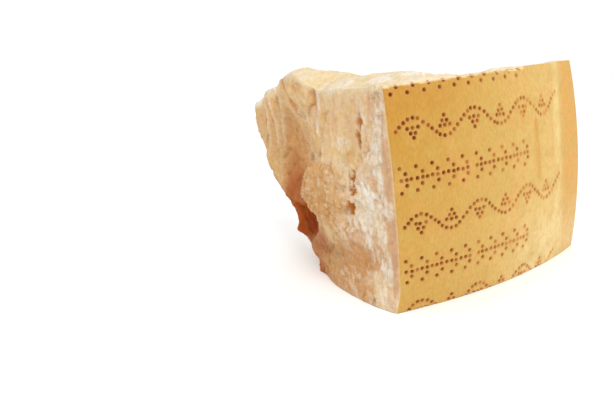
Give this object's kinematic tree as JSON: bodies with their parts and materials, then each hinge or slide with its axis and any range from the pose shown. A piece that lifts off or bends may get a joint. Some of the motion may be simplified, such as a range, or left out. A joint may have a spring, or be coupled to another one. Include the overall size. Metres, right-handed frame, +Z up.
{
  "type": "hard cheese wedge",
  "caption": "Wedge of aged hard cheese with a curved pin-pricked rind in front, a flat cut base to rest on, and rough broken faces that narrow to an overhanging tip.",
  "frame": {"origin": "middle of the flat base, under the middle of the wedge's bounding box", "axes": "+Z up from the base, -Y out of the rind, +Y from the rind to the tip, +X to the right along the rind seen from in front of it"},
  "size_m": [0.1289, 0.154, 0.1113],
  "materials": {
    "cheese": "matt"
  },
  "bodies": {
    "root": {"cheese_wedge": "cheese"}
  },
  "joints": []
}
